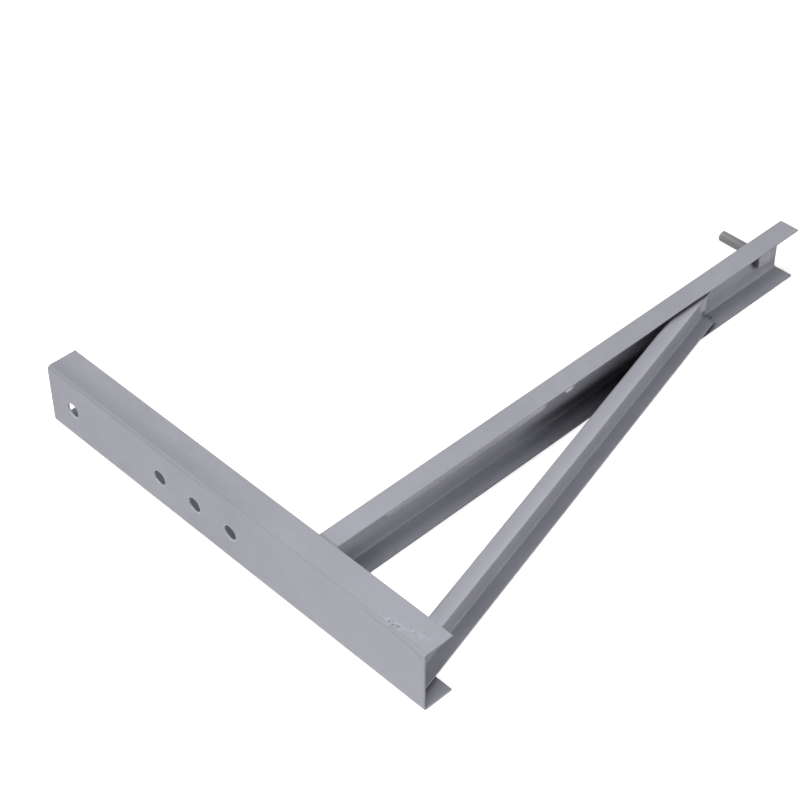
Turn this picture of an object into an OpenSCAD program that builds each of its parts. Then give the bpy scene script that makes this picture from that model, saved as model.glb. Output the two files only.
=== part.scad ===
// Welded wall bracket for an air conditioner's outdoor unit.
// Three folded steel channels nest in each other: one stands on the wall,
// one reaches out to carry the unit's feet, and a brace holds it from below.
// Millimetres. X points out of the wall, Y along it, Z up.
// The origin is on the wall face, in the middle, level with the arm's top.

/* [Steel sheet] */
// Thickness of the sheet that all three channels are folded from
sheet_t = 1.2; // [1:0.1:1.5]
// Radius on the inside of every fold
bend_r = 1.5; // [0.8:0.1:1.5]

/* [Wall channel] */
// Width of the web that lies on the wall
wall_w = 46; // [40:0.5:60]
// Depth of the two flanges, from the wall
wall_d = 22; // [16:0.5:30]
// Length above the arm's top face
wall_above = 224; // [210:1:300]
// Length below the arm's top face
wall_below = 111; // [80:1:160]

/* [Wall holes] */
// Diameter of the four anchor holes
wall_hole_d = 10.5; // [8:0.5:14]
// Distance of the highest hole from the upper end
top_hole_in = 22.5; // [15:0.5:40]
// Height of the lowest hole above the arm's top face
row_hole_up = 51; // [20:0.5:80]
// Distance between the three lower holes
row_hole_pitch = 32.5; // [20:0.5:40]

/* [Arm] */
// Reach of the arm, from the wall to its free end
arm_reach = 450; // [400:5:560]
// Depth of the arm's flanges, from its top face
arm_d = 16; // [13:0.5:24]
// Gap between the arm and the wall channel's flange, on each side, at least the fold's radius
arm_gap = 1.8; // [1.5:0.1:2.5]

/* [Slot and hole for the feet] */
// Width of the slot and diameter of the hole beside it
foot_hole_d = 10; // [8:0.5:13]
// Distance from the wall to the near end of the slot
slot_out = 77; // [50:1:88]
// Length of the slot, end to end
slot_len = 141; // [60:1:150]
// Distance from the wall to the middle of the round hole
foot_hole_out = 239.5; // [236:0.5:260]

/* [Brace] */
// Depth of the brace's flanges, square to its web
brace_d = 11; // [8:0.5:14]
// Gap between the brace and the arm's flange, on each side
brace_gap = 1.05; // [0.4:0.05:1.2]
// Distance from the arm's free end back to the brace's upper end
brace_in = 80; // [50:1:120]
// Height of the brace's top edge above the wall channel's lower end
brace_up = 17; // [16:0.5:40]

/* [Bolt and nut] */
// Diameter of the bolt's shank
bolt_d = 8; // [6:0.5:10]
// Length of the shank under the head
bolt_len = 33; // [25:1:50]
// Distance from the arm's free end back to the bolt
bolt_in = 20; // [15:1:35]
// Gap between the shank and its hole, all round
bolt_gap = 0.5; // [0.2:0.1:1]
// Gap between the shank and the nut's bore, all round
thread_gap = 0.05; // [0.02:0.01:0.1]
// Width across the flats of the head and the nut
hex_af = 13; // [12:0.5:17]
// Height of the head
head_h = 5.3; // [4:0.1:7]
// Height of the nut
nut_h = 6.5; // [5:0.1:8]
// Chamfer on the shank's tip
tip_chamfer = 1; // [0.5:0.1:1.5]
// Chamfer on the corners of the hexagons
hex_chamfer = 0.6; // [0.3:0.1:1]

/* [Weld beads] */
// Radius of the beads across the arm's root and the brace's foot
root_bead_r = 4; // [2.5:0.5:5]
// Radius of the beads along the channels' sides
side_bead_r = 3; // [2.5:0.5:4]
// Reach of the bead past the brace's upper end
head_bead_out = 4.7; // [3:0.1:5.5]
// Depth of that bead below the arm's underside
head_bead_h = 2.1; // [1.5:0.1:2.5]

/* [Hidden] */

// How far a cutter reaches past the faces that it cuts
cut = 1;
// Roundness of arcs and bores
round_fn = 64;

coat = [0.66, 0.665, 0.69];
zinc = [0.62, 0.62, 0.60];

bend_out = bend_r + sheet_t;
wall_len = wall_above + wall_below;
arm_w = wall_w - 2 * (sheet_t + arm_gap);
brace_w = arm_w - 2 * (sheet_t + brace_gap);

// The brace's top edge runs from the wall channel's web to the arm's underside
brace_end = arm_reach - brace_in;
brace_drop = wall_below - brace_up;
brace_run = brace_end - sheet_t;
brace_angle = atan((brace_drop - sheet_t) / brace_run);
brace_foot_h = brace_d / cos(brace_angle);

// The room between the brace and the wall channel's flange, on each side
side_gap = arm_gap + sheet_t + brace_gap;
// A bead this round is as wide and as deep as the one at the brace's upper end
head_bead_r = (pow(head_bead_out, 2) + pow(head_bead_h, 2)) / (2 * head_bead_h);

bolt_x = arm_reach - bolt_in;
hex_d = hex_af / cos(30);

wall_hole_z = concat([for (i = [0:2]) row_hole_up + i * row_hole_pitch], [wall_above - top_hole_in]);

// A rectangle from x = 0 to x = d and w across, its two corners at x = 0 rounded
module rounded_block(w, d, r) {
    translate([r, -w / 2]) square([d - r, w]);
    translate([0, r - w / 2]) square([r, w - 2 * r]);
    for (side = [-1, 1])
        translate([r, side * (w / 2 - r)]) circle(r, $fn = round_fn);
}

// A folded channel along Z: the web's outer face at x = 0, the flanges towards +X
module channel(w, d, len) {
    linear_extrude(len)
        difference() {
            rounded_block(w, d, bend_out);
            translate([sheet_t, 0]) rounded_block(w - 2 * sheet_t, d, bend_r);
        }
}

// A round cutter through the arm's web at a distance from the wall
module web_drill(x, d) {
    translate([x, 0, -sheet_t - cut])
        cylinder(h = sheet_t + 2 * cut, d = d, $fn = round_fn);
}

// A weld bead along Y, centred, with round ends
module bead(run, r) {
    rotate([90, 0, 0])
        rotate_extrude($fn = round_fn)
            difference() {
                union() {
                    square([2 * r, run - 2 * r], center = true);
                    for (side = [-1, 1])
                        translate([0, side * (run / 2 - r)]) circle(r, $fn = round_fn);
                }
                translate([-2 * r, -run]) square([2 * r, 2 * run]);
            }
}

module hexagon(h) {
    intersection() {
        rotate(30) cylinder(h = h, d = hex_d, $fn = 6);
        union() {
            cylinder(h = h - hex_chamfer, d = hex_d, $fn = round_fn);
            translate([0, 0, h - hex_chamfer])
                cylinder(h = hex_chamfer, d1 = hex_d, d2 = hex_af, $fn = round_fn);
        }
    }
}

module wall_channel() {
    color(coat)
        difference() {
            translate([0, 0, -wall_below]) channel(wall_w, wall_d, wall_len);
            for (z = wall_hole_z)
                translate([-cut, 0, z]) rotate([0, 90, 0])
                    cylinder(h = sheet_t + 2 * cut, d = wall_hole_d, $fn = round_fn);
        }
}

module arm_channel() {
    color(coat)
        difference() {
            translate([sheet_t, 0, 0]) rotate([0, 90, 0])
                channel(arm_w, arm_d, arm_reach - sheet_t);
            // the slot: two drilled ends and what lies between them
            for (end = [slot_out + foot_hole_d / 2, slot_out + slot_len - foot_hole_d / 2])
                web_drill(end, foot_hole_d);
            translate([slot_out + foot_hole_d / 2, -foot_hole_d / 2, -sheet_t - cut])
                cube([slot_len - foot_hole_d, foot_hole_d, sheet_t + 2 * cut]);
            web_drill(foot_hole_out, foot_hole_d);
            web_drill(bolt_x, bolt_d + 2 * bolt_gap);
        }
}

// Everything that lies in the brace's direction: local Z along it, local X below it,
// from the top edge of its foot
module along_brace() {
    translate([sheet_t, 0, -brace_drop]) rotate([0, 90 - brace_angle, 0]) children();
}

// The brace's ends are cut parallel to the wall
module brace_channel() {
    spare = brace_d;
    color(coat)
        intersection() {
            along_brace() translate([0, 0, -spare])
                channel(brace_w, brace_d, brace_run / cos(brace_angle) + 2 * spare);
            translate([sheet_t, -brace_w, -wall_below])
                cube([brace_run, 2 * brace_w, wall_below]);
        }
}

// The bolt hangs by its head under the arm's web and points up at the unit's foot
module foot_bolt() {
    color(zinc) {
        translate([bolt_x, 0, -sheet_t]) mirror([0, 0, 1]) hexagon(head_h);
        translate([bolt_x, 0, -sheet_t]) {
            cylinder(h = bolt_len - tip_chamfer, d = bolt_d, $fn = round_fn);
            translate([0, 0, bolt_len - tip_chamfer])
                cylinder(h = tip_chamfer, d1 = bolt_d, d2 = bolt_d - 2 * tip_chamfer, $fn = round_fn);
        }
    }
}

// The nut clamps the bolt to the arm's top face
module bolt_nut() {
    color(zinc)
        translate([bolt_x, 0, 0])
            difference() {
                hexagon(nut_h);
                translate([0, 0, -cut])
                    cylinder(h = nut_h + 2 * cut, d = bolt_d + 2 * thread_gap, $fn = round_fn);
            }
}

// What the wall channel's flanges and web enclose between two heights
module wall_room(low, high) {
    translate([0, 0, low])
        linear_extrude(high - low)
            translate([sheet_t, 0]) rounded_block(wall_w - 2 * sheet_t, wall_d, bend_r);
}

// One bead across the arm's root, on top, and one inside each of its flanges
module arm_root_weld() {
    over_run = arm_w - 2 * bend_out;
    side_run = arm_d - 2 * bend_out;
    color(coat) {
        intersection() {
            translate([sheet_t, 0, 0]) bead(over_run, root_bead_r);
            translate([sheet_t, -arm_w / 2, 0]) cube([root_bead_r, arm_w, root_bead_r]);
        }
        for (side = [-1, 1])
            intersection() {
                translate([sheet_t, side * (arm_w / 2 - sheet_t), bend_out - arm_d])
                    cylinder(h = side_run, r = side_bead_r, $fn = round_fn);
                translate([sheet_t, sheet_t - arm_w / 2, -arm_d])
                    cube([side_bead_r, arm_w - 2 * sheet_t, arm_d]);
            }
    }
}

// One bead across the brace's foot, on top, and one beside each of its flanges,
// which fills the room between it and the wall channel's flange
module brace_foot_weld() {
    over_run = brace_w - 2 * bend_out;
    side_run = brace_foot_h - bend_out;
    side_low = -brace_drop - brace_foot_h;
    color(coat) {
        difference() {
            translate([sheet_t, 0, -brace_drop]) bead(over_run, root_bead_r);
            translate([sheet_t - 2 * root_bead_r, -brace_w, -brace_drop - 2 * root_bead_r])
                cube([2 * root_bead_r, 2 * brace_w, 4 * root_bead_r]);
            along_brace() translate([0, -brace_w, -2 * root_bead_r])
                cube([2 * root_bead_r, 2 * brace_w, 4 * root_bead_r]);
        }
        for (side = [-1, 1])
            intersection() {
                translate([sheet_t, side * (brace_w + side_gap) / 2, side_low])
                    cylinder(h = side_run, r = side_bead_r, $fn = round_fn);
                wall_room(side_low, side_low + side_run);
                translate([0, side * (brace_w / 2 + side_gap) - side_gap, side_low])
                    cube([wall_d, 2 * side_gap, side_run]);
            }
    }
}

// One bead across the brace's upper end, against the arm's underside
module brace_head_weld() {
    run = brace_w - 2 * bend_out;
    reach = 2 * head_bead_r;
    color(coat)
        difference() {
            translate([brace_end, 0, head_bead_r - sheet_t - head_bead_h]) bead(run, head_bead_r);
            // the arm's web above it
            translate([brace_end - reach, -brace_w, -sheet_t]) cube([2 * reach, 2 * brace_w, 2 * reach]);
            // the brace's web behind it, and the narrow gap over that
            intersection() {
                along_brace() translate([sheet_t - reach, -brace_w, 0])
                    cube([reach, 2 * brace_w, 2 * brace_run]);
                translate([brace_end - reach, -brace_w, -sheet_t - reach])
                    cube([reach, 2 * brace_w, 2 * reach]);
            }
        }
}

wall_channel();
arm_channel();
brace_channel();
foot_bolt();
bolt_nut();
arm_root_weld();
brace_foot_weld();
brace_head_weld();
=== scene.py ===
import math

import bmesh
import bpy
from mathutils import Matrix, Vector


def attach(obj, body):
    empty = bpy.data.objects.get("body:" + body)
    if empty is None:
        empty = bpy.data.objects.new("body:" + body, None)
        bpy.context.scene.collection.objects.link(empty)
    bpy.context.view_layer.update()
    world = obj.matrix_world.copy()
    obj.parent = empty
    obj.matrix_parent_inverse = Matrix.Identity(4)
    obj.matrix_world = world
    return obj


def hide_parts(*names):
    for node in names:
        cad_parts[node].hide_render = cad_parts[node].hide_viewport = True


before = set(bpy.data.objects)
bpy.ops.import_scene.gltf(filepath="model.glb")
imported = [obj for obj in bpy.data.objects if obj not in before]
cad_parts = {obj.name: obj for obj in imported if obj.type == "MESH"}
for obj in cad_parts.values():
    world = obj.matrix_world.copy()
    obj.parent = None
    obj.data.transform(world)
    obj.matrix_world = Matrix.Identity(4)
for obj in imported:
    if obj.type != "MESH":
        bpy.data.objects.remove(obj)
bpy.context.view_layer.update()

# Lengths are written in millimetres and turned into metres by this
MM = 0.001
X_AXIS = Vector((1, 0, 0))
Y_AXIS = Vector((0, 1, 0))
Z_AXIS = Vector((0, 0, 1))

# Camera, solved from the photograph's edges in the bracket's own frame; its place is in metres
CAM_PLACE = (-0.51960, -0.86655, -0.63281)
CAM_RIGHT = (0.71694, 0.00494, -0.69711)
CAM_UP = (0.46729, -0.74547, 0.47531)
CAM_LENS = 92.94
CAM_SENSOR = 36.0

# Sheet and folds, as in the solids; FOLD is a fold's outer radius
SHEET = 1.2
FOLD = 2.7

# Channels, as in the solids; a HALF is from the middle to a flange's outer face
WALL_HALF = 23.0
WALL_INNER = WALL_HALF - SHEET
WALL_REACH = 22.0
WALL_HOLES = (51.0, 83.5, 116.0, 201.5)
HOLE_R = 5.25
ARM_HALF = 20.0
ARM_DEPTH = 16.0
BRACE_HALF = 17.75
BRACE_DEPTH = 11.0
BRACE_TOP = -94.0
BRACE_END = 370.0
BRACE_TILT = math.atan2(-BRACE_TOP - SHEET, BRACE_END - SHEET)

# M8 bolt and its nut, as in the solids; BOLT_LEN is from below the head
BOLT_X = 430.0
BOLT_LEN = 33.0
BOLT_TIP = BOLT_LEN - SHEET
SHANK_R = 4.0
PITCH = 1.25
FLATS = 13.0
HEAD_H = 5.3
NUT_H = 6.5
BORE_R = 4.05

# Weld beads, as in the solids, how far apart their ripples are, and how fine their mesh is
ROOT_BEAD_R = 4.0
SIDE_BEAD_R = 3.0
HEAD_BEAD_OUT = 4.7
HEAD_BEAD_H = 2.1
LONG_RIPPLE = 1.9
SHORT_RIPPLE = 1.7
BEAD_STEP = 0.2

# Greys of the coat: its plain ones, those of worn edges with a painted highlight, of painted shade on
# the fold, painted shadow by the wall, burns and painted shade at joints, and of the plating
COAT_DARK = 0.375
COAT_PALE = 0.455
COAT_WEAR_AND_HIGHLIGHT = 0.58
FOLD_SHADE_GREY = 0.335
WALL_SHADOW_GREY = 0.15
BURNT = 0.10
JOINT_SHADE_GREY = 0.02
ZINC_DARK = (0.30, 0.30, 0.312, 1.0)
ZINC_PALE = (0.42, 0.42, 0.436, 1.0)
ZINC_BRIGHT = (0.56, 0.56, 0.575, 1.0)

# Widths over which an edge looks rounded
COAT_ROUND = 0.7
ZINC_ROUND = 0.35

# Blistered coat on the flange: distance from the wall, height, size
MARK_PITS = (
    (4.3, -79.4, 0.9), (4.1, -82.7, 0.6), (4.4, -84.8, 0.7), (5.1, -86.2, 0.8),
    (2.2, -83.3, 0.45), (-0.2, -90.3, 0.45),
)
MARK_FLECKS = (
    (5.4, -77.8, 0.9), (3.9, -76.8, 0.6), (6.3, -82.6, 0.8), (7.2, -85.4, 0.8),
    (6.6, -88.8, 1.1), (3.8, -87.8, 0.9), (7.5, -90.6, 0.7), (8.4, -93.6, 0.7),
    (2.4, -80.6, 0.7), (3.0, -78.4, 0.5), (10.2, -96.8, 0.6), (10.1, -100.8, 0.7),
    (11.1, -104.4, 0.7),
)

# Burnt spots beside the brace's upper weld: place, size
BURNS = (
    ((373.2, 17.0, -1.2), 1.5),
    ((374.6, 18.8, -6.4), 1.6),
    ((371.6, 18.8, -13.0), 1.3),
    ((374.8, 18.8, -3.2), 1.0),
)

# The floor lies square to Y, under the bracket's far side
FLOOR_Y = 23.4
FLOOR_REACH = 4000.0

# Lamps: name, place and size in metres, power in watts
LAMP_AIM = (0.17, 0.0, 0.03)
LAMPS = (
    ("front", (0.17, -1.33, -1.97), (1.2, 1.2), 22.0),
    ("left", (-2.22, -0.335, 0.03), (0.70, 1.0), 13.4),
    ("left_front", (-1.96, -0.37, -1.04), (0.78, 1.0), 8.6),
    ("over", (-0.94, -3.00, 0.03), (1.6, 1.6), 67.0),
)
# These stand behind the floor and light the sides that the photograph doesn't show
BACK_LAMPS = (
    ("right", (2.20, 0.55, 0.75), (0.9, 0.9), 15.0),
    ("top", (0.85, 0.65, 2.30), (0.9, 0.9), 28.0),
    ("behind", (0.85, 2.30, 0.75), (0.9, 0.9), 24.0),
)


def coat_colour(level):
    """A grey with the coat's faint violet cast."""
    return (level * 0.975, level * 0.980, level * 1.105, 1.0)


class Nodes:
    """A node tree, written one call a node. Its values are sockets or plain numbers."""

    def __init__(self, tree):
        self.tree = tree
        tree.nodes.clear()

    def add(self, kind, inputs=None, **settings):
        node = self.tree.nodes.new("ShaderNode" + kind)
        for key, value in settings.items():
            setattr(node, key, value)
        for key, value in (inputs or {}).items():
            if isinstance(value, bpy.types.NodeSocket):
                self.tree.links.new(value, node.inputs[key])
            else:
                node.inputs[key].default_value = value
        return node

    def math(self, op, a, b=0.0, clamp=False):
        return self.add("Math", {0: a, 1: b}, operation=op, use_clamp=clamp).outputs[0]

    def plus(self, first, *others):
        for other in others:
            first = self.math("ADD", first, other)
        return first

    def minus(self, a, b):
        return self.math("SUBTRACT", a, b)

    def times(self, first, *others):
        for other in others:
            first = self.math("MULTIPLY", first, other)
        return first

    def vector(self, op, a, b):
        return self.add("VectorMath", {0: a, 1: b}, operation=op).outputs["Vector"]

    def length(self, a):
        return self.add("VectorMath", {0: a}, operation="LENGTH").outputs["Value"]

    def distance(self, where, place):
        """Distance from a place in millimetres."""
        target = tuple(c * MM for c in place)
        return self.add("VectorMath", {0: where, 1: target}, operation="DISTANCE").outputs["Value"]

    def split(self, where):
        """A vector's x, y and z."""
        return self.add("SeparateXYZ", {0: where}).outputs[:]

    def mix(self, factor, a, b):
        """Colour a where the factor is 0, and colour b where it is 1."""
        return self.add("Mix", {0: factor, 6: a, 7: b}, data_type="RGBA").outputs[2]

    def noise(self, where, scale, detail=2.0, rough=0.5):
        inputs = {"Vector": where, "Scale": scale, "Detail": detail, "Roughness": rough}
        return self.add("TexNoise", inputs).outputs["Fac"]

    def ramp(self, value, low, high, to_low=0.0, to_high=1.0):
        """A smooth step from to_low at low to to_high at high."""
        inputs = {0: value, 1: low, 2: high, 3: to_low, 4: to_high}
        return self.add("MapRange", inputs, interpolation_type="SMOOTHSTEP").outputs[0]

    def fade(self, length, low, high, to_low=0.0, to_high=1.0):
        """A ramp between two lengths in millimetres."""
        return self.ramp(length, low * MM, high * MM, to_low, to_high)

    def seen(self):
        """1 for rays from the camera, off gloss and through glass, 0 for those that carry light."""
        path = self.add("LightPath").outputs
        shiny = self.math("MAXIMUM", path["Is Glossy Ray"], path["Is Transmission Ray"])
        return self.math("MAXIMUM", path["Is Camera Ray"], shiny)

    def surface(self, socket):
        self.add("OutputMaterial", {"Surface": socket})


def new_material(name):
    """A material and its empty node tree."""
    material = bpy.data.materials.new(name)
    material.use_nodes = True
    return material, Nodes(material.node_tree)


def coat(name, part):
    """Smooth pale grey coat over folded sheet, with what is particular to one of the parts."""
    material, n = new_material(name)
    where = n.add("TexCoord").outputs["Object"]
    # Unevenness of the coat, from clouds some 35 mm wide down to its fine grain
    cloud = n.noise(where, 28.0, 3.0)
    blotch = n.noise(where, 170.0, 4.0, 0.6)
    speckle = n.noise(where, 850.0, 3.0, 0.7)
    grain = n.noise(where, 2600.0, 2.0)
    shade = n.plus(n.times(cloud, 0.10), n.times(blotch, 0.08), n.times(speckle, 0.10))
    colour = n.mix(n.ramp(shade, 0.08, 0.20), coat_colour(COAT_DARK), coat_colour(COAT_PALE))
    # The coat is paler along sharp edges: thinner where worn, and a painted highlight where the edges
    # catch the light
    round_normal = n.add("Bevel", {"Radius": COAT_ROUND * MM}, samples=6).outputs[0]
    flat_normal = n.add("NewGeometry").outputs["True Normal"]
    turn = n.add("VectorMath", {0: round_normal, 1: flat_normal}, operation="DOT_PRODUCT")
    edge = n.ramp(turn.outputs["Value"], 0.995, 0.90)
    worn_and_lit = n.times(edge, n.ramp(n.noise(where, 420.0, 3.0), 0.35, 0.65, 0.55, 1.0))
    colour = n.mix(n.times(worn_and_lit, 0.8), colour, coat_colour(COAT_WEAR_AND_HIGHLIGHT))
    height = n.plus(n.times(grain, 0.25), n.times(blotch, 0.6), n.times(speckle, 0.35))
    rough = n.ramp(blotch, 0.3, 0.7, 0.48, 0.58)
    if part == "bead":
        colour, height = bead_scale(n, where, height)
    if part == "arm":
        colour = arm_shades(n, where, colour)
    if part == "brace":
        colour = brace_shades(n, where, colour)
    if part == "wall":
        colour = shaded_fold(n, where, colour)
        colour, height = hole_rims(n, where, colour, height)
        colour, height, rough = weld_mark(n, where, colour, height, rough)
    # Painted shade where two pieces come close
    colour = painted_joint_shade(n, where, colour)
    bump = n.add("Bump", {"Height": height, "Strength": 0.35, "Distance": 0.12 * MM,
                          "Normal": round_normal})
    shader = n.add("BsdfPrincipled", {"Base Color": colour, "Roughness": rough, "Metallic": 0.0,
                                      "Specular IOR Level": 0.45, "Normal": bump.outputs[0]})
    n.surface(shader.outputs[0])
    return material


def closeness(n, reach):
    """How much another piece shuts a face in, within a reach in millimetres."""
    every = n.add("AmbientOcclusion", {"Distance": reach * MM}, samples=8)
    own = n.add("AmbientOcclusion", {"Distance": reach * MM}, samples=8, only_local=True)
    open_to_own = n.math("MAXIMUM", own.outputs["AO"], 0.05)
    return n.minus(1.0, n.math("DIVIDE", every.outputs["AO"], open_to_own, True))


def painted_joint_shade(n, where, colour):
    """Painted shade where two pieces come close, but not where one only stands near the floor."""
    normal_y = n.split(n.add("NewGeometry").outputs["Normal"])[1]
    y = n.split(where)[1]
    away_from_floor = n.math("MAXIMUM", n.fade(y, 14.0, 16.0, 1.0, 0.0),
                             n.math("LESS_THAN", normal_y, -0.5))
    joint_shade = n.times(n.ramp(closeness(n, 5.0), 0.04, 0.32), away_from_floor)
    return n.mix(n.times(joint_shade, 0.88), colour, coat_colour(JOINT_SHADE_GREY))


def bead_scale(n, where, height):
    """A weld bead's coat is rough and patchy."""
    scale = n.noise(where, 900.0, 3.0, 0.6)
    colour = n.mix(n.ramp(scale, 0.42, 0.68), coat_colour(0.68), coat_colour(0.38))
    return colour, n.plus(height, scale)


def arm_shades(n, where, colour):
    """Painted shade inside over the brace and painted shadow by the wall, paler coat outside, burnt
    spots by the upper weld.
    """
    x, y, z = n.split(where)
    within = n.math("LESS_THAN", n.math("ABSOLUTE", y), (ARM_HALF - SHEET / 2) * MM)
    inside = n.times(within, n.math("LESS_THAN", z, -1.0 * MM))
    # Painted shadow cast by the wall channel inside the arm, which thins out along the arm
    wall_shadow = n.times(n.fade(x, WALL_REACH, 85.0, 1.0, 0.0), inside, n.fade(y, 2.0, 15.0))
    colour = n.mix(n.times(wall_shadow, 0.75), colour, coat_colour(WALL_SHADOW_GREY))
    # Outside the coat is palest by the wall
    pale = n.times(n.fade(x, 30.0, 120.0, 1.0, 0.0), n.minus(1.0, inside))
    colour = n.mix(n.times(pale, 0.8), colour, coat_colour(0.47))
    # Painted shade: the far flange is nearly black where the brace shuts it in
    wedge_shade = n.times(n.ramp(closeness(n, 45.0), 0.10, 0.45), inside, n.fade(y, 7.0, 15.0))
    colour = n.mix(n.times(wedge_shade, 0.94), colour, coat_colour(0.01))
    frayed = fray(n, where, 700.0, 2.5)
    for place, size in BURNS:
        spot = n.fade(n.distance(frayed, place), 0.3 * size, 1.2 * size, 0.7, 0.0)
        colour = n.mix(spot, colour, coat_colour(BURNT))
    return colour


def brace_shades(n, where, colour):
    """The brace's coat is paler towards the flanges' free edges."""
    x, y, z = n.split(where)
    top = n.plus(BRACE_TOP * MM, n.times(x, math.tan(BRACE_TILT)))
    depth = n.minus(top, z)
    outside = n.math("LESS_THAN", y, (0.2 - BRACE_HALF) * MM)
    pale = n.times(n.fade(depth, 5.0, BRACE_DEPTH), outside)
    return n.mix(n.times(pale, 0.75), colour, coat_colour(0.50))


def fray(n, where, scale, reach):
    """Moves a place about, so that what is drawn there gets ragged edges."""
    drift = n.add("TexNoise", {"Vector": where, "Scale": scale, "Detail": 3.0}).outputs["Color"]
    centred = n.vector("SUBTRACT", drift, (0.5, 0.5, 0.5))
    push = n.add("VectorMath", {0: centred, "Scale": reach * MM}, operation="SCALE").outputs["Vector"]
    return n.vector("ADD", where, push)


def unroll(n, x, y):
    """Distance from the near fold: on to the flange it is positive, on to the web negative."""
    return n.minus(x, n.plus(y, WALL_HALF * MM))


def shaded_fold(n, where, colour):
    """Painted shade along the near fold, stronger towards the upper end."""
    x, y, z = n.split(where)
    away = unroll(n, x, y)
    cloud = n.times(n.minus(n.noise(where, 60.0, 3.0), 0.5), 5.0 * MM)
    high = n.fade(z, 20.0, 110.0)
    # Towards the lower end the coat is painted evenly pale, where the fold shows no shade
    colour = n.mix(n.fade(z, -70.0, 60.0, 0.6, 0.0), colour, coat_colour(COAT_PALE))
    # A narrow line of painted shade on the fold itself
    tight = n.fade(n.math("ABSOLUTE", n.minus(away, 0.6 * MM)), 1.0, 3.4, 1.0, 0.0)
    colour = n.mix(n.times(tight, 0.75), colour, coat_colour(0.315))
    colour = n.mix(n.times(tight, high, 0.5), colour, coat_colour(0.25))
    # A wide cloudy band of painted shade beside it on the flange
    wide = n.times(n.fade(n.plus(away, cloud), 4.0, 16.0, 1.0, 0.0), n.fade(away, -1.0, 1.0), high)
    return n.mix(n.times(wide, 0.8), colour, coat_colour(FOLD_SHADE_GREY))


def hole_rims(n, where, colour, height):
    """A thin pale ring is painted round each hole as a highlight on its rim, and raised a little by the
    bump.
    """
    for z in WALL_HOLES:
        off = n.vector("SUBTRACT", where, (0.0, 0.0, z * MM))
        flat = n.vector("MULTIPLY", off, (0.0, 1.0, 1.0))
        ring = n.fade(n.length(flat), HOLE_R + 0.3, HOLE_R + 1.2, 1.0, 0.0)
        # Painted highlight round the hole's rim
        colour = n.mix(n.times(ring, 0.6), colour, coat_colour(COAT_WEAR_AND_HIGHLIGHT))
        height = n.plus(height, n.times(ring, 1.2))
    return colour, height


def weld_mark(n, where, colour, height, rough):
    """Where the weld inside has blistered the coat on the outside of the flange."""
    x, y, z = n.split(where)
    outside = n.fade(y, -WALL_INNER + 0.3, -WALL_INNER + 1.3, 1.0, 0.0)
    warped = fray(n, where, 480.0, 3.0)
    ragged = fray(n, where, 1500.0, 2.4)
    wander = n.times(n.minus(n.noise(where, 130.0, 2.0), 0.5), 5.0 * MM)
    # A long mottled patch that leaves the fold towards the lower end
    line = n.plus(5.0 * MM, n.times(n.minus(-76.0 * MM, z), 0.20))
    across = n.fade(n.math("ABSOLUTE", n.minus(n.plus(x, wander), line)), 0.8, 4.5, 1.0, 0.0)
    along = n.times(n.fade(z, -109.0, -101.0), n.fade(z, -80.0, -73.0, 1.0, 0.0))
    patch = n.times(across, along, outside)
    mottle = n.noise(warped, 700.0, 4.0, 0.75)
    flakes = n.times(patch, n.ramp(mottle, 0.47, 0.60))
    colour = n.mix(n.times(flakes, 0.7), colour, coat_colour(0.56))
    hollows = n.times(patch, n.ramp(mottle, 0.38, 0.48, 1.0, 0.0))
    colour = n.mix(n.times(hollows, 0.5), colour, coat_colour(0.30))
    height = n.plus(height, n.times(patch, mottle, 3.0))
    rough = n.plus(rough, n.times(patch, 0.15))
    # Pale scales of loose coat, and burnt pits among them
    for spots, level, lift in ((MARK_FLECKS, 0.60, 1.5), (MARK_PITS, 0.13, -3.0)):
        for px, pz, size in spots:
            away = n.distance(ragged, (px, -WALL_HALF, pz))
            spot = n.times(n.fade(away, 0.35 * size, 1.15 * size, 0.85, 0.0), outside)
            colour = n.mix(spot, colour, coat_colour(level))
            height = n.plus(height, n.times(spot, lift))
    # A soft groove along the fold
    stray = n.fade(z, -108.0, -97.0, -2.5 * MM, -0.6 * MM)
    side = n.minus(n.plus(unroll(n, x, y), n.times(wander, 0.2)), stray)
    bend = n.fade(n.math("ABSOLUTE", side), 0.3, 1.9, 1.0, 0.0)
    reach = n.times(n.fade(z, -111.0, -108.0), n.fade(z, -75.0, -50.0, 1.0, 0.0))
    groove = n.times(bend, reach, n.fade(y, -18.0, -17.0, 1.0, 0.0))
    colour = n.mix(n.times(groove, 0.45), colour, coat_colour(0.29))
    height = n.minus(height, n.times(groove, 1.2))
    return colour, height, rough


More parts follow.
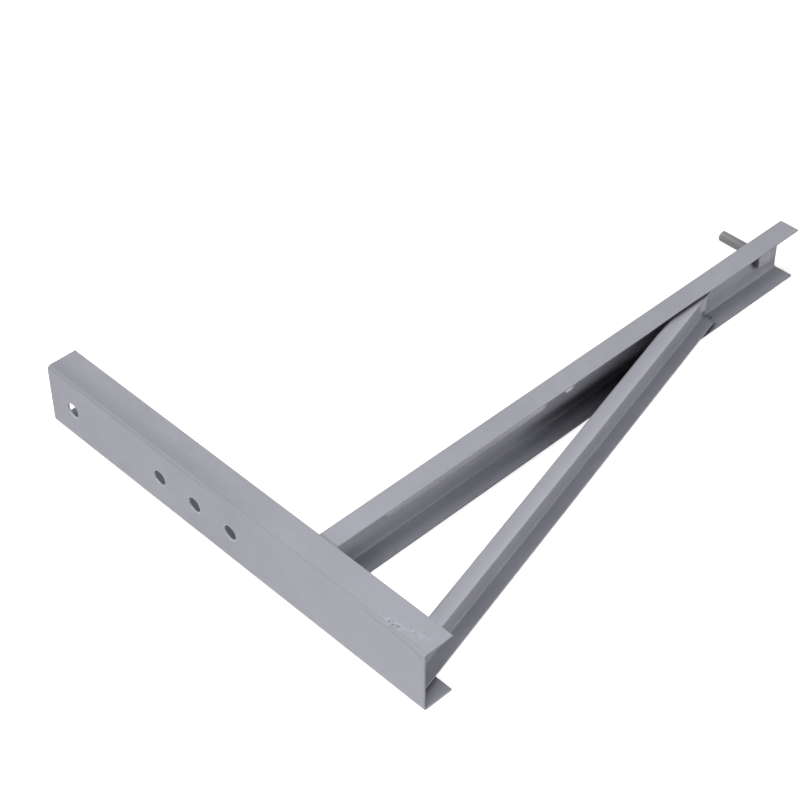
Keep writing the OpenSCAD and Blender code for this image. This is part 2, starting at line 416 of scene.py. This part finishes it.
def zinc(name):
    """Dull zinc plating, with grime and painted shade in its recesses and painted shade inside the arm.
    """
    material, n = new_material(name)
    where = n.add("TexCoord").outputs["Object"]
    z = n.split(where)[2]
    cloud = n.noise(where, 260.0, 4.0, 0.6)
    fine = n.noise(where, 1800.0, 3.0, 0.6)
    colour = n.mix(n.ramp(cloud, 0.35, 0.65), ZINC_DARK, ZINC_PALE)
    # The shank above the nut is brighter, the head has some of the coat on it
    colour = n.mix(n.fade(z, 8.0, 10.0, 0.0, 0.6), colour, ZINC_BRIGHT)
    colour = n.mix(n.fade(z, -3.0, -1.0, 0.6, 0.0), colour, coat_colour(0.24))
    round_normal = n.add("Bevel", {"Radius": ZINC_ROUND * MM}, samples=6).outputs[0]
    # Grime and painted shade in the thread and the chamfers
    recess = n.add("AmbientOcclusion", {"Distance": 0.9 * MM}, samples=8, only_local=True)
    grime_and_shade = n.ramp(recess.outputs["AO"], 0.4, 0.95, 1.0, 0.0)
    colour = n.mix(n.times(grime_and_shade, 0.85), colour, (0.04, 0.04, 0.04, 1.0))
    # Painted shade: the head is dark inside the arm, what stands on top less so
    shut_in = n.times(n.ramp(closeness(n, 9.0), 0.05, 0.45), n.fade(z, -2.0, 0.0, 0.85, 0.35))
    colour = n.mix(shut_in, colour, (0.02, 0.02, 0.02, 1.0))
    height = n.plus(n.times(fine, 0.4), cloud)
    bump = n.add("Bump", {"Height": height, "Strength": 0.4, "Distance": 0.08 * MM,
                          "Normal": round_normal})
    rough = n.ramp(fine, 0.3, 0.7, 0.42, 0.56)
    shader = n.add("BsdfPrincipled", {"Base Color": colour, "Roughness": rough, "Metallic": 0.5,
                                      "Normal": bump.outputs[0]})
    n.surface(shader.outputs[0])
    return material


def make_object(name, verts, faces, material, sharp=None):
    """A mesh from points in millimetres, in the bracket's frame."""
    mesh = bpy.data.meshes.new(name)
    mesh.from_pydata([Vector(v) * MM for v in verts], [], faces)
    mesh.validate()
    mesh.update()
    for face in mesh.polygons:
        face.use_smooth = True
    if sharp:
        mesh.set_sharp_from_angle(angle=math.radians(sharp))
    obj = bpy.data.objects.new(name, mesh)
    bpy.context.scene.collection.objects.link(obj)
    mesh.materials.append(material)
    return obj


def face_out(obj):
    """Turns every face outwards."""
    bm = bmesh.new()
    bm.from_mesh(obj.data)
    bmesh.ops.recalc_face_normals(bm, faces=bm.faces)
    bm.to_mesh(obj.data)
    bm.free()


def join_rings(rings, capped=True):
    """Points and faces of closed rings of equal length, joined in order."""
    verts = [p for ring in rings for p in ring]
    size = len(rings[0])
    faces = []
    for i in range(len(rings) - 1):
        for j in range(size):
            k = (j + 1) % size
            faces.append((i * size + j, i * size + k, (i + 1) * size + k, (i + 1) * size + j))
    if capped:
        last = (len(rings) - 1) * size
        faces.append(tuple(reversed(range(size))))
        faces.append(tuple(range(last, last + size)))
    return verts, faces


def join_meshes(pairs):
    """Points and faces of several meshes as one."""
    verts, faces = [], []
    for more_verts, more_faces in pairs:
        base = len(verts)
        verts += more_verts
        faces += [tuple(i + base for i in face) for face in more_faces]
    return verts, faces


def circle(x, radius, z, count=48):
    """Points of a level circle about an upright axis at x."""
    turns = [2 * math.pi * j / count for j in range(count)]
    return [(x + radius * math.cos(t), radius * math.sin(t), z) for t in turns]


def arc(width, height, start, stop, count=15):
    """Points of an ellipse's arc between two angles in degrees."""
    turns = [math.radians(start + (stop - start) * i / (count - 1)) for i in range(count)]
    return [(width * math.cos(t), height * math.sin(t)) for t in turns]


def bead_rings(middle, along, u, v, profile, run, pitch, seed, end=3.0):
    """A weld bead: a profile in the plane of u and v, swept along, rippled and rounded at its ends."""
    middle = Vector(middle)
    steps = int(run / BEAD_STEP)
    last = len(profile) - 1
    rings = []
    for i in range(steps + 1):
        s = -run / 2 + run * i / steps
        left = min(run / 2 - abs(s), end) / end
        size = max(math.sqrt(max(0.0, 1 - (1 - left) ** 2)), 0.04)
        # The bead's size wanders a little along its run
        drift = 1 + 0.035 * math.sin(seed + s * 0.9) + 0.03 * math.sin(seed * 2.3 + s * 2.1)
        ring = []
        for j, (a, b) in enumerate(profile):
            t = j / last
            crest = math.sin(math.pi * t)
            # Each ripple is a crescent that lags at its two feet
            phase = (s + 1.1 * crest + 0.15 * math.sin(seed + 7 * s)) / pitch
            wave = phase - math.floor(phase)
            ripple = 1 + 0.055 * crest * (abs(2 * wave - 1) ** 1.5 - 0.5)
            scale = size * drift * ripple if 0 < t < 1 else size * drift
            ring.append(middle + along * s + (u * a + v * b) * scale)
        ring.append(middle + along * s)
        rings.append(ring)
    return rings


def weld(name, node, beads, material):
    """Joins beads into one piece that stands for a solid."""
    verts, faces = join_meshes([join_rings(bead) for bead in beads])
    obj = make_object(name, verts, faces, material, 50)
    face_out(obj)
    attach(obj, "root")
    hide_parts(node)


def arm_root_bead(material):
    """Across the arm's top and down both its sides, where it meets the wall channel's web."""
    top_run = 2 * (ARM_HALF - FOLD)
    side_run = ARM_DEPTH - 2 * FOLD
    top = arc(ROOT_BEAD_R, ROOT_BEAD_R, 0, 90)
    side_arc = arc(SIDE_BEAD_R, SIDE_BEAD_R, 0, 90)
    beads = [bead_rings((SHEET, 0, 0), Y_AXIS, X_AXIS, Z_AXIS, top, top_run, LONG_RIPPLE, 0.4)]
    for side in (-1, 1):
        middle = (SHEET, side * (ARM_HALF - SHEET), -ARM_DEPTH / 2)
        beads.append(bead_rings(middle, Z_AXIS, X_AXIS, -side * Y_AXIS, side_arc, side_run,
                                SHORT_RIPPLE, 1.0 + side, 1.5))
    weld("arm_root_bead", "arm_root_weld", beads, material)


def brace_foot_bead(material):
    """Across the brace's foot, and filling the gaps beside it."""
    up_slope = Vector((math.cos(BRACE_TILT), 0, math.sin(BRACE_TILT)))
    top_run = 2 * (BRACE_HALF - FOLD)
    joint_shade = WALL_INNER - BRACE_HALF
    low = BRACE_TOP - BRACE_DEPTH / math.cos(BRACE_TILT)
    side_run = BRACE_TOP - FOLD - low
    top = arc(ROOT_BEAD_R, ROOT_BEAD_R, 0, 90)
    # Beside the brace the bead bulges out of the gap
    fill = [(2.3 + 0.75 * math.sin(math.pi * i / 12), joint_shade * (0.5 - i / 12)) for i in range(13)]
    beads = [bead_rings((SHEET, 0, BRACE_TOP), Y_AXIS, up_slope, Z_AXIS, top, top_run,
                        LONG_RIPPLE, 2.2)]
    for side in (-1, 1):
        middle = (SHEET, side * (BRACE_HALF + joint_shade / 2), low + side_run / 2)
        beads.append(bead_rings(middle, Z_AXIS, X_AXIS, side * Y_AXIS, fill, side_run,
                                SHORT_RIPPLE, 3.0 + side, 1.2))
    weld("brace_foot_bead", "brace_foot_weld", beads, material)


def brace_head_bead(material):
    """Across the brace's upper end on the arm's underside; it also laps under the brace's web."""
    run = 2 * (BRACE_HALF - FOLD)
    lap = [(-1.2, 2.3), (-2.4, 2.4), (-3.4, 2.3), (-4.0, 2.1)]
    profile = arc(HEAD_BEAD_OUT, HEAD_BEAD_H, 0, 90) + lap
    beads = [bead_rings((BRACE_END, 0, -SHEET), Y_AXIS, X_AXIS, -Z_AXIS, profile, run,
                        LONG_RIPPLE, 5.1)]
    weld("brace_head_bead", "brace_head_weld", beads, material)


def hexagon_radius(turn):
    """Distance from the axis to a hexagon's side, with a flat facing X."""
    sixth = math.pi / 3
    off = (turn + sixth / 2) % sixth - sixth / 2
    return FLATS / 2 / math.cos(off)


def hexagon_rings(low, high, bore=0.0, both=False, count=144):
    """Rings of a hexagon head or nut on the bolt's axis, with its corners chamfered at 30 degrees."""
    turns = [2 * math.pi * i / count for i in range(count)]
    slope = math.tan(math.radians(30))
    crown = FLATS / 2 * 0.95
    side = 1 if high > low else -1
    countersink = 0.75
    sunk = 0.7
    lip = 0.15
    dome = 0.02

    def ring(radius, level):
        return [(BOLT_X + radius(t) * math.cos(t), radius(t) * math.sin(t), level(t)) for t in turns]

    def drop(t):
        return (hexagon_radius(t) - crown) * slope

    rings = []
    if bore:
        rings.append(ring(lambda t: bore, lambda t: low + side * sunk))
        rings.append(ring(lambda t: bore + countersink, lambda t: low))
    if both:
        rings.append(ring(lambda t: crown, lambda t: low))
        rings.append(ring(hexagon_radius, lambda t: low + side * drop(t)))
    else:
        rings.append(ring(lambda t: hexagon_radius(t) - lip, lambda t: low))
        rings.append(ring(hexagon_radius, lambda t: low + side * lip))
    rings.append(ring(hexagon_radius, lambda t: high - side * drop(t)))
    rings.append(ring(lambda t: crown, lambda t: high))
    if bore:
        rings.append(ring(lambda t: bore + countersink, lambda t: high))
        rings.append(ring(lambda t: bore, lambda t: high - side * sunk))
        rings.append(ring(lambda t: bore, lambda t: low + side * sunk))
    else:
        rings.append(ring(lambda t: crown * 0.55, lambda t: high + side * dome))
    return rings


def thread_rings(low, high, count=48):
    """Rings of a rolled thread on the bolt's axis, which starts smoothly and has a chamfered tip."""
    depth = 0.6134 * PITCH
    step = PITCH / 10
    tip_chamfer = 1.0
    rings = []
    for i in range(int((high - low) / step) + 1):
        z = min(low + i * step, high)
        ring = []
        for j in range(count):
            t = 2 * math.pi * j / count
            wave = (z / PITCH - j / count) % 1.0
            # Straight flanks between a flat root and a flat crest
            flank = min(max((abs(2 * wave - 1) - 0.14) / 0.68, 0.0), 1.0)
            start = min((z - low) / PITCH, 1.0)
            radius = SHANK_R - depth * (1 - flank) * start
            radius = min(radius, SHANK_R - tip_chamfer + (high - z))
            ring.append((BOLT_X + radius * math.cos(t), radius * math.sin(t), z))
        rings.append(ring)
    return rings


def bolt(material):
    """Hexagon bolt: head below the arm's web, threaded shank above."""
    head = hexagon_rings(-SHEET, -SHEET - HEAD_H)
    # A plain neck, which starts inside the head and ends within the arm's web
    neck_top = -SHEET + 1.0
    neck = [circle(BOLT_X, SHANK_R, -SHEET - 0.5), circle(BOLT_X, SHANK_R, neck_top)]
    shank = neck + thread_rings(neck_top, BOLT_TIP)
    verts, faces = join_meshes([join_rings(head), join_rings(shank)])
    obj = make_object("bolt", verts, faces, material, 35)
    face_out(obj)
    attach(obj, "root")
    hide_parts("foot_bolt")


def nut(material):
    """Hexagon nut on the arm's top, chamfered and countersunk on both sides."""
    verts, faces = join_rings(hexagon_rings(0.0, NUT_H, bore=BORE_R, both=True), capped=False)
    obj = make_object("nut", verts, faces, material, 30)
    face_out(obj)
    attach(obj, "root")
    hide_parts("bolt_nut")


def build_camera():
    camera = bpy.data.objects.new("camera", bpy.data.cameras.new("camera"))
    bpy.context.scene.collection.objects.link(camera)
    right, up = Vector(CAM_RIGHT), Vector(CAM_UP)
    turn = Matrix((right, up, right.cross(up))).transposed()
    camera.matrix_world = Matrix.Translation(CAM_PLACE) @ turn.to_4x4()
    camera.data.sensor_width = CAM_SENSOR
    camera.data.lens = CAM_LENS
    bpy.context.scene.camera = camera


def build_lamp(name, place, size, power):
    """A rectangular lamp that is aimed at the bracket's middle."""
    lamp = bpy.data.lights.new(name, "AREA")
    lamp.shape = "RECTANGLE"
    lamp.size, lamp.size_y = size
    lamp.energy = power
    obj = bpy.data.objects.new(name, lamp)
    bpy.context.scene.collection.objects.link(obj)
    obj.location = place
    obj.rotation_mode = "QUATERNION"
    obj.rotation_quaternion = (Vector(LAMP_AIM) - Vector(place)).to_track_quat("-Z", "Y")


def build_world():
    """White wherever it is seen; it gives no light, which all comes from the lamps."""
    world = bpy.data.worlds.new("studio")
    bpy.context.scene.world = world
    world.use_nodes = True
    n = Nodes(world.node_tree)
    dark = n.add("Background", {"Strength": 0.0})
    white = n.add("Background", {"Color": (1.0, 1.0, 1.0, 1.0), "Strength": 1.0})
    mix = n.add("MixShader", {0: n.seen(), 1: dark.outputs[0], 2: white.outputs[0]})
    n.add("OutputWorld", {"Surface": mix.outputs[0]})


def build_floor():
    """The bracket lies on its side, so the floor is square to Y. From behind the floor isn't seen."""
    material, n = new_material("floor")
    where = n.add("TexCoord").outputs["Object"]
    x, _, z = n.split(where)
    # A painted shadow of the arm lies on the floor right beside it
    across = n.times(n.fade(z, -13.0, -3.0), n.fade(z, 8.0, 31.0, 1.0, 0.0))
    along = n.times(n.fade(x, 20.0, 60.0), n.fade(x, 180.0, 440.0, 1.0, 0.0))
    shade = n.times(across, along)
    # Where it is seen it is white, but for the painted shadow and the shadows round the bracket
    dull = n.add("BsdfDiffuse", {"Color": (0.30, 0.30, 0.30, 1.0)})
    pale_colour = n.mix(shade, (0.80, 0.80, 0.80, 1.0), (0.10, 0.10, 0.10, 1.0))
    pale = n.add("BsdfDiffuse", {"Color": pale_colour})
    away = n.distance(where, (170.0, FLOOR_Y, 30.0))
    glow = n.minus(n.fade(away, 500.0, 1200.0, 0.72, 1.0), n.times(shade, 0.70))
    lift = n.add("Emission", {"Color": (1.0, 1.0, 1.0, 1.0), "Strength": glow})
    white = n.add("AddShader", {0: pale.outputs[0], 1: lift.outputs[0]})
    front = n.add("MixShader", {0: n.seen(), 1: dull.outputs[0], 2: white.outputs[0]})
    # It lets the light of the lamps behind it through
    clear = n.add("BsdfTransparent")
    backfacing = n.add("NewGeometry").outputs["Backfacing"]
    through = n.math("MAXIMUM", backfacing, n.add("LightPath").outputs["Is Shadow Ray"])
    n.surface(n.add("MixShader", {0: through, 1: front.outputs[0], 2: clear.outputs[0]}).outputs[0])
    low, high = -FLOOR_REACH, FLOOR_REACH
    verts = [(low, FLOOR_Y, low), (high, FLOOR_Y, low), (high, FLOOR_Y, high), (low, FLOOR_Y, high)]
    obj = make_object("floor", verts, [(0, 1, 2, 3)], material)


build_camera()
bpy.context.scene.view_settings.view_transform = "Standard"

for part in ("wall", "arm", "brace"):
    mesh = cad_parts[part + "_channel"].data
    mesh.materials.clear()
    mesh.materials.append(coat(part + "_coat", part))

bead_coat = coat("bead_coat", "bead")
arm_root_bead(bead_coat)
brace_foot_bead(bead_coat)
brace_head_bead(bead_coat)

plating = zinc("zinc_plating")
bolt(plating)
nut(plating)

build_floor()
build_world()
for settings in LAMPS + BACK_LAMPS:
    build_lamp(*settings)
